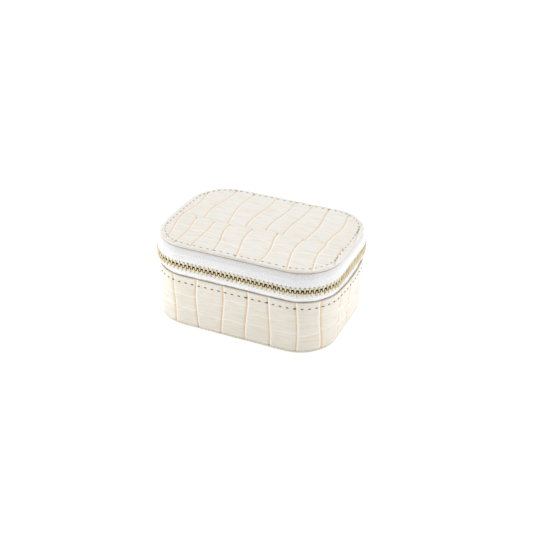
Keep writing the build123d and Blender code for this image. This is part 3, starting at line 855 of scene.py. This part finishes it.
# ---- stitching ----
def stitches(name, points, outward, along, half=1.1, radius=0.3):
    """Threads at points, each bent into the leather at both ends. All arrays are [n, 3]."""
    steps, ring = 9, 8
    t = np.linspace(-1, 1, steps)
    faces = tube_faces(steps, ring)
    across = np.cross(outward, along)
    verts, all_faces = [], []
    for i in range(len(points)):
        rise = 0.22 - 0.55 * t**4
        fat = radius * (1 - 0.35 * t**6)
        for k in range(steps):
            centre = points[i] + along[i] * t[k] * half + outward[i] * rise[k]
            for j in range(ring):
                a = 2 * math.pi * j / ring + 0.5 * t[k]
                r = fat[k] * (1 + 0.12 * math.cos(3 * a - 5 * t[k]))
                verts.append(centre + across[i] * r * math.cos(a) + outward[i] * r * math.sin(a) * 0.8)
        all_faces += moved(faces, i * steps * ring)
    return new_object(name, np.array(verts), all_faces)


STITCH_PITCH = 4.3


def stitch_row(low, high, out, bowed=False):
    """Places (x, y), outward directions and directions along for a row of stitches between two distances."""
    count = int(round((high - low) / STITCH_PITCH))
    s = low + (np.arange(count) + 0.5) * (high - low) / count
    x, y, angle = route(s, out + (side_bow(s, WALL_SEAM) if bowed else 0.0))
    normal = np.column_stack([np.cos(angle), np.sin(angle), 0 * angle])
    along = np.column_stack([-np.sin(angle), np.cos(angle), 0 * angle])
    return x, y, normal, along


# The wall's stitches use the near-black thread, painted shade for the stitch holes.
x, y, normal, along = stitch_row(BREAKS[1] + 1.5, BREAKS[8] - 1.5, -0.3, True)
places = np.column_stack([x, y, np.full(len(x), WALL_SEAM)])
dress(stitches("wall_stitches", places, normal, along), thread, "thread", "base", "base_stitching")
x, y, normal, along = stitch_row(0, ROUND, PANEL_OUT - PANEL_SEAM)
up = np.broadcast_to(np.array([0.0, 0.0, 1.0]), normal.shape)
places = np.column_stack([x + panel_bow(x, y), y, np.full(len(x), PANEL_TOP - 0.3)])
dress(stitches("lid_stitches", places, up, along, 1.05, 0.22), pale_thread, "thread", "lid", "lid_stitching")


# ---- linings and the hinge ----
def ripple(s, z, size=0.12):
    """A soft unevenness in mm."""
    return size * np.sin(s * 0.31 + 1.7 * np.sin(s * 0.07)) * np.sin(z * 0.23 + 0.9 * np.sin(s * 0.19))


# Just behind the linings' outer face.
BEHIND_LINING = LINING_OUT - 0.05


def rectangle(first, second, foot, top):
    """Corners (out, z), from the foot up at one distance out and back down at the other."""
    return [(first, foot), (first, top), (second, top), (second, foot)]


def lining(name, node, body):
    """A wall lining whose inner face draws back a little at half height."""
    low, high = node_box(node)
    s = even_samples(1.1)
    shape = resample(rounded(rectangle(BEHIND_LINING, INSIDE_OUT, low[2], high[2]), 0.5, 5), 0.9)
    ss, zz = np.meshgrid(s, shape[:, 1], indexing="ij")
    inside = shape[:, 0] < -4.4
    middle = np.sin(np.clip((zz - low[2]) / (high[2] - low[2]), 0, 1) * math.pi)
    outs = shape[:, 0][None, :] + (0.25 + ripple(ss, zz)) * inside[None, :] * middle
    return dress(wall_band(name, s, outs, zz), velvet, "velvet", body, node)


lining("base_lining", "base_wall_lining", "base")
lining("lid_lining", "lid_wall_lining", "lid")


def ledge(name, node, out, body):
    """The lining's turned edge, from the lining out to the distance out."""
    low, high = node_box(node)
    s = even_samples(1.1)
    shape = resample(rounded(rectangle(BEHIND_LINING, out, low[2], high[2]), 0.28, 4), 0.5)
    ss, zz = np.meshgrid(s, shape[:, 1], indexing="ij")
    zz = zz + ripple(ss, ss * 0.6, 0.07)
    return dress(wall_band(name, s, shape[:, 0] + 0 * zz, zz), velvet, "velvet", body, node)


ledge("base_ledge", "base_edge_lining", -0.6, "base")
ledge("lid_ledge", "lid_edge_lining", -0.1, "lid")


def floor_lining():
    low, high = node_box("base_floor_lining")
    half_x, half_y, top = high
    profile = [(0.0, low[2], 0), (0.0, top - 0.3, 0), (0.3, top, 0)]
    profile += [(d, top, 1.0) for d in np.linspace(1.0, half_y, 51)]
    radius = CORNER_R + LINING_OUT
    points, _ = disc(half_x, half_y, radius, profile, lambda x, y: (0.1 + ripple(x, y, 0.1), 0 * x), 1.1)
    return plate("floor_lining", points)


dress(floor_lining(), velvet, "velvet", "base", "base_floor_lining")


def lid_pad():
    """A thin foam pad under the lid's board, quilted in diamonds."""
    low, high = node_box("lid_lining_pad")
    half_x, half_y, top = high
    under = low[2]

    def quilt(x, y):
        u, v = (x + y) / 17.0, (x - y) / 17.0
        seam = np.minimum(np.abs(u - np.round(u)), np.abs(v - np.round(v))) * 12.0
        return -0.9 * (1 - pillow(seam, 4.0)) - 0.25 * groove(seam, 0.35), 0 * x

    profile = [(0.1, top, 0), (0.0, top - 0.5, 0), (0.0, under + 0.7, 0)]
    profile += [(0.25, under + 0.25, 0.2), (0.7, under + 0.05, 0.6)]
    profile += [(d, under, 1.0) for d in np.linspace(1.2, half_y, 91)]
    points, _ = disc(half_x, half_y, CORNER_R + INSIDE_OUT, profile, quilt, 0.8)
    piece = plate("lid_pad", points)
    return piece


dress(lid_pad(), velvet, "velvet", "lid", "lid_lining_pad")


def soft_box(name, low, high, radius, step, swell):
    """A box with rounded edges on a fine grid, whose points are then moved by swell."""
    counts = np.maximum(2, np.round((high - low) / step).astype(int)) + 1
    index, points, faces = {}, [], []

    def corner(key):
        if key not in index:
            index[key] = len(points)
            points.append(low + (high - low) * np.array(key) / (counts - 1))
        return index[key]

    for axis in range(3):
        a, b = (axis + 1) % 3, (axis + 2) % 3
        for side in (0, counts[axis] - 1):
            for i in range(counts[a] - 1):
                for j in range(counts[b] - 1):
                    keys = []
                    for da, db in ((0, 0), (1, 0), (1, 1), (0, 1)):
                        key = [0, 0, 0]
                        key[axis], key[a], key[b] = int(side), i + da, j + db
                        keys.append(corner(tuple(key)))
                    faces.append(keys if side else keys[::-1])
    p = np.array(points)
    core = np.clip(p, low + radius, high - radius)
    away = (p - core) / radius
    length = np.maximum(np.linalg.norm(away, axis=1), 1e-9)[:, None]
    reach = np.max(np.abs(away), axis=1)[:, None]
    return new_object(name, swell(core + away / length * reach * radius), faces)


def divider(name, node, along):
    """A padded wall between compartments. along is the axis it runs along: 0 for x, 1 for y."""
    low, high = node_box(node)
    thin = 1 - along

    def swell(p):
        q = p.copy()
        middle = (low[thin] + high[thin]) / 2
        waist = 1 - 0.05 * (1 + np.sin(p[:, 2] * 0.3 + p[:, along] * 0.21))
        q[:, thin] = middle + (p[:, thin] - middle) * waist
        return q

    radius = np.array([1.3, 1.3, 1.4])
    return dress(soft_box(name, low, high, radius, 0.7, swell), velvet, "velvet", "base", node)


divider("centre_wall", "centre_divider", 1)
divider("cross_wall", "cross_divider", 0)


def ring_cushion(number):
    """A stuffed roll: rounded, drawn in and gathered at its ends."""
    low, high = node_box(f"ring_roll_{number}")
    middle, half = (low + high) / 2, (high - low) / 2
    rows, ring = 110, 72
    t = np.linspace(-1, 1, rows)
    end = np.clip(1 - np.abs(t) ** 14, 0, 1) ** 0.45
    a = np.linspace(0, 2 * math.pi, ring, endpoint=False)
    tt, aa = np.meshgrid(t, a, indexing="ij")
    squared = (np.abs(np.cos(aa)) ** 2.6 + np.abs(np.sin(aa)) ** 2.6) ** (-1 / 2.6)
    folds = 0.035 * np.exp(-((np.abs(tt) - 0.96) / 0.05) ** 2) * np.cos(aa * 11 + number)
    wave = 0.012 * np.sin(tt * 9 + number * 2 + 1.5 * np.sin(aa)) + 0.01 * np.sin(aa * 3 + tt * 5)
    r = 0.955 * squared * end[:, None] * (1 + folds + wave)
    r = np.minimum(r, 0.999 / np.maximum(np.abs(np.cos(aa)), np.abs(np.sin(aa))))
    x = middle[0] + half[0] * r * np.cos(aa)
    z = middle[2] + half[2] * r * np.sin(aa)
    y = middle[1] + (half[1] - 0.1) * tt
    piece = grid(f"ring_cushion_{number}", np.stack([x, y, z], axis=-1), caps=("first", "last"))
    return dress(piece, velvet, "velvet", "base", f"ring_roll_{number}")


for number in (1, 2, 3):
    ring_cushion(number)


def thin_faces(rows, cols):
    """Faces of a grid of points, of a second grid behind it, and of the edge that joins the two."""
    faces = grid_faces(rows, cols, False, False)
    total = rows * cols
    rim = [i * cols for i in range(rows)] + [(rows - 1) * cols + j for j in range(1, cols)]
    rim += [i * cols + cols - 1 for i in range(rows - 2, -1, -1)] + list(range(cols - 2, 0, -1))
    edge = [[a, b, b + total, a + total] for a, b in zip(rim, rim[1:] + rim[:1])]
    return faces, moved(faces, total), edge


def strip(name, low, high, face_out, relief):
    """An upright strip across the back with relief on its outward (+Y) or inward face."""
    step = 0.5
    x = np.linspace(low[0], high[0], int((high[0] - low[0]) / step))
    z = np.linspace(low[2], high[2], int((high[2] - low[2]) / step))
    xx, zz = np.meshgrid(x, z, indexing="ij")
    from_rim = np.minimum(np.minimum(xx - low[0], high[0] - xx), np.minimum(zz - low[2], high[2] - zz))
    depth, tint = relief(xx, zz)
    drop = depth + 0.35 * (1 - np.clip(from_rim / 0.7, 0, 1)) ** 2
    near, far = (high[1], low[1]) if face_out else (low[1], high[1])
    sign = 1 if face_out else -1
    front = np.stack([xx, near - sign * drop, zz], axis=-1)
    rear = np.stack([xx, np.full_like(xx, far), zz], axis=-1)
    faces, behind, edge = thin_faces(*xx.shape)
    all_faces = turned(faces) + behind + edge if face_out else faces + turned(behind) + turned(edge)
    piece = new_object(name, np.concatenate([front.reshape(-1, 3), rear.reshape(-1, 3)]), all_faces)
    float_layer(piece, "groove", [tint, 0 * tint])
    return piece


def hinge_relief(x, z):
    depth, tint, _ = wall_relief(ROUND - x, z)
    seam = np.minimum(np.abs(z - HINGE_SEAMS[0]), np.abs(z - HINGE_SEAMS[1]))
    return depth * 0.8 + 0.12 * groove(seam, 0.5) + 0.18 * groove(z - ZIP_Z, 0.8), tint


low, high = node_box("hinge_leather")
hinge = strip("hinge_strip", low, high, True, hinge_relief)
dress(hinge, wall_leather, "ivory_leather", None, "hinge_leather")
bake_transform(hinge)
low, high = node_box("hinge_lining")
inner_hinge = strip("hinge_cover", low, high, False, lambda x, z: (0.1 + ripple(x, z, 0.08), 0 * x))
dress(inner_hinge, velvet, "velvet", None, "hinge_lining")
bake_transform(inner_hinge)


def hinge_stitches(z, body):
    n, pitch, out = 13, 4.6, 0.9
    x = (np.arange(n) - (n - 1) / 2) * pitch
    places = np.column_stack([x, np.full(n, HALF_Y + out), np.full(n, z)])
    normal = np.tile([0.0, 1.0, 0.0], (n, 1))
    along = np.tile([-1.0, 0.0, 0.0], (n, 1))
    return dress(stitches(f"hinge_stitches_{body}", places, normal, along), thread, "thread", body)


hinge_stitches(HINGE_SEAMS[0], "base")
hinge_stitches(HINGE_SEAMS[1], "lid")

# The leather that covers the lid's back edge, behind the hinge strip.
back_s = np.linspace(-STRAIGHT_X - 1.5, STRAIGHT_X + 1.5, 90)
back_shape = resample(rounded([(-1.75, 45.4), (-0.1, 45.4), (-0.1, 52.1), (-1.75, 52.1)], 0.4, 4), 0.5)
ss, zz = np.meshgrid(back_s, back_shape[:, 1], indexing="ij")
back_outs = back_shape[:, 0] + 0 * zz
back_marks = {"groove": 0.15 + 0 * zz}
back_edge = wall_band("lid_back_leather", back_s, back_outs, zz, False, ("first", "last"), back_marks)
dress(back_edge, wall_leather, "ivory_leather", "lid")


# ---- lid pocket ----
pocket_low, pocket_high = node_box("lid_pocket")


def pocket():
    """One gathered sheet: fixed along three sides, full in the middle, drawn up by the elastic in front."""
    across, deep, thick = 150, 80, 0.65
    u, v = np.meshgrid(np.linspace(-1, 1, across), np.linspace(0, 1, deep), indexing="ij")
    half_w = (pocket_high[0] - pocket_low[0]) / 2 - 0.3
    y = pocket_low[1] + 0.2 + v * (pocket_high[1] - pocket_low[1] - 0.6)
    x = u * half_w * (1 - 0.05 * v**6)
    top = pocket_high[2] - 0.05
    full = (1 - np.abs(u) ** 6) * (1 - v**5)
    gather = np.exp(-((v / 0.45) ** 2))
    folds = 0.34 * gather * np.cos(u * half_w * 1.25 + 2 * np.sin(u * 5))
    folds = folds + 0.2 * (1 - gather) * np.sin(u * 9 + 3 * v)
    outer_z = top - 0.35 - (4.45 + folds) * full
    lower = np.stack([x, y, outer_z], axis=-1)
    upper = np.stack([x * 0.996, y, np.minimum(outer_z + thick, top + 0.25)], axis=-1)
    faces, behind, edge = thin_faces(across, deep)
    points = np.concatenate([lower.reshape(-1, 3), upper.reshape(-1, 3)])
    return new_object("pocket", points, turned(faces) + behind + turned(edge))


pocket_piece = pocket()
band_low, band_high = node_box("pocket_elastic")


def elastic_swell(p):
    q = p.copy()
    q[:, 2] += 0.14 * np.sin(p[:, 0] * 2.1) * np.clip((42 - np.abs(p[:, 0])) / 4, 0, 1)
    q[:, 1] += 0.1 * np.sin(p[:, 0] * 1.05)
    return q


spare = np.array([0.2, 0.2, 0.0])
radius = np.array([0.28, 0.28, 0.28])
elastic = soft_box("pocket_band", band_low + spare, band_high - spare, radius, 0.35, elastic_swell)
dress(elastic, elastic_cloth, "elastic", "lid", "pocket_elastic")
dress(pocket_piece, velvet, "velvet", "lid", "lid_pocket")


# ---- carried-over CAD nodes get their own materials ----
LOOKS = {
    "antique_brass": antique_brass,
    "grey_board": board,
    "velvet": velvet,
    "zip_tape": tape_cloth,
    "thread": thread,
    "elastic": elastic_cloth,
    "ivory_leather": wall_leather,
}
slots = {entry["node"]: entry["material_slot"] for entry in frame["record"]["subparts"]}
for node, body in frame["nodes"].items():
    if node in slots:
        body.data.materials.clear()
        body.data.materials.append(LOOKS[slots[node]])
